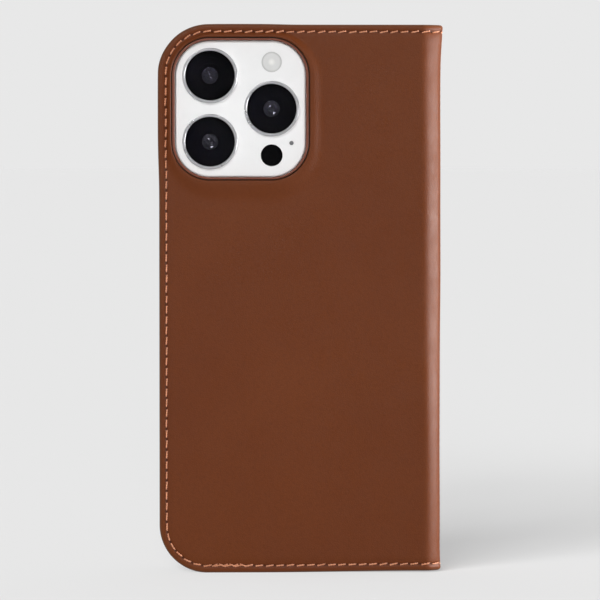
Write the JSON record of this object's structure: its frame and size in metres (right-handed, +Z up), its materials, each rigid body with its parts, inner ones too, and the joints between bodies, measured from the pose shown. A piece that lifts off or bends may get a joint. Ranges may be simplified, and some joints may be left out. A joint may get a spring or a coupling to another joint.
{
  "type": "phone wallet case",
  "caption": "Folio wallet case in stitched brown leather: a rear panel with a camera window and phone shell, a folding spine and a front cover with card pockets, closed on a phone.",
  "frame": {"origin": "middle of the case's footprint, on the plane its covers' bottom edges stand on", "axes": "+Z up along the phone's long side, -Y out of the rear panel with the camera window, +Y out of the front cover, +X towards the spine"},
  "size_m": [0.0866, 0.0198, 0.169],
  "materials": {
    "leather": "smooth full-grain leather, warm mid brown, softly polished",
    "pocket_leather": "thin smooth leather, cut edges burnished",
    "reinforcement_board": "plain fibre and resin board",
    "lining": "short-nap microfibre, dark brown",
    "gusset": "thin woven tape",
    "thread": "waxed polyester thread, orange tan",
    "camera_spacer": "soft foam sheet",
    "camera_bezel": "satin red-brown lacquer",
    "shell": "fine matt moulded texture, brown",
    "suede": "microsuede",
    "closure_steel": "plain steel strip",
    "magnet": "nickel plated",
    "button_cap": "satin red-brown lacquer",
    "phone_frame": "bead blasted, silver",
    "phone_back_glass": "satin white",
    "phone_screen": "polished black, display off",
    "phone_battery": "dark foil pouch",
    "phone_board": "circuit board and shields",
    "phone_port": "plain steel",
    "camera_plateau": "satin white",
    "lens_ring": "polished silver",
    "lens_cover": "clear, coated",
    "lens_barrel": "black",
    "lens_element": "coated, dark blue sheen",
    "black_glass": "polished black",
    "flash_lens": "frosted lens over a pale diode",
    "microphone_mesh": "black mesh"
  },
  "bodies": {
    "case_back": {"camera_bezel": "camera_bezel", "camera_plateau": "camera_plateau", "camera_spacer": "camera_spacer", "closure_plate_lower": "closure_steel", "closure_plate_upper": "closure_steel", "depth_sensor_window": "black_glass", "flash_lens": "flash_lens", "lower_lens_barrel": "lens_barrel", "lower_lens_cover": "lens_cover", "lower_lens_element": "lens_element", "lower_lens_ring": "lens_ring", "microphone_mesh": "microphone_mesh", "phone_back_glass": "phone_back_glass", "phone_battery": "phone_battery", "phone_charging_port": "phone_port", "phone_frame": "phone_frame", "phone_logic_board": "phone_board", "phone_screen": "phone_screen", "phone_shell": "shell", "rear_board": "reinforcement_board", "rear_leather": "leather", "rear_lining": "lining", "rear_stitches": "thread", "shell_suede": "suede", "side_lens_barrel": "lens_barrel", "side_lens_cover": "lens_cover", "side_lens_element": "lens_element", "side_lens_ring": "lens_ring", "upper_lens_barrel": "lens_barrel", "upper_lens_cover": "lens_cover", "upper_lens_element": "lens_element", "upper_lens_ring": "lens_ring"},
    "spine": {"spine_board": "reinforcement_board", "spine_leather": "leather", "spine_lining": "lining", "spine_stitches": "thread"},
    "front_cover": {"card_pocket_1": "pocket_leather", "card_pocket_1_gusset": "gusset", "card_pocket_2": "pocket_leather", "card_pocket_2_gusset": "gusset", "card_pocket_3": "pocket_leather", "card_pocket_3_gusset": "gusset", "cash_pocket": "pocket_leather", "cash_pocket_gusset": "gusset", "cover_magnet_lower": "magnet", "cover_magnet_upper": "magnet", "front_board": "reinforcement_board", "front_leather": "leather", "front_lining": "lining", "front_stitches": "thread", "pocket_stitches": "thread"},
    "power_button": {"phone_power_key": "phone_frame", "power_cap": "button_cap"},
    "action_button": {"action_cap": "button_cap", "phone_action_key": "phone_frame"},
    "volume_up_button": {"phone_volume_up_key": "phone_frame", "volume_up_cap": "button_cap"},
    "volume_down_button": {"phone_volume_down_key": "phone_frame", "volume_down_cap": "button_cap"}
  },
  "joints": [
    {"name": "spine_fold", "type": "hinge", "parent": "case_back", "child": "spine", "pos_m": [0.04136, -0.00716, 0.0845], "axis": [0, 0, -1], "range_deg": [0, 179]},
    {"name": "cover_fold", "type": "hinge", "parent": "spine", "child": "front_cover", "pos_m": [0.04136, 0.00796, 0.0845], "axis": [0, 0, -1], "range_deg": [0, 179]},
    {"name": "power_press", "type": "slide", "parent": "case_back", "child": "power_button", "axis": [1, 0, 0], "range_m": [0, 0.0003], "stiffness_N_per_m": 800},
    {"name": "action_press", "type": "slide", "parent": "case_back", "child": "action_button", "axis": [-1, 0, 0], "range_m": [0, 0.0003], "stiffness_N_per_m": 800},
    {"name": "volume_up_press", "type": "slide", "parent": "case_back", "child": "volume_up_button", "axis": [-1, 0, 0], "range_m": [0, 0.0003], "stiffness_N_per_m": 800},
    {"name": "volume_down_press", "type": "slide", "parent": "case_back", "child": "volume_down_button", "axis": [-1, 0, 0], "range_m": [0, 0.0003], "stiffness_N_per_m": 800}
  ]
}
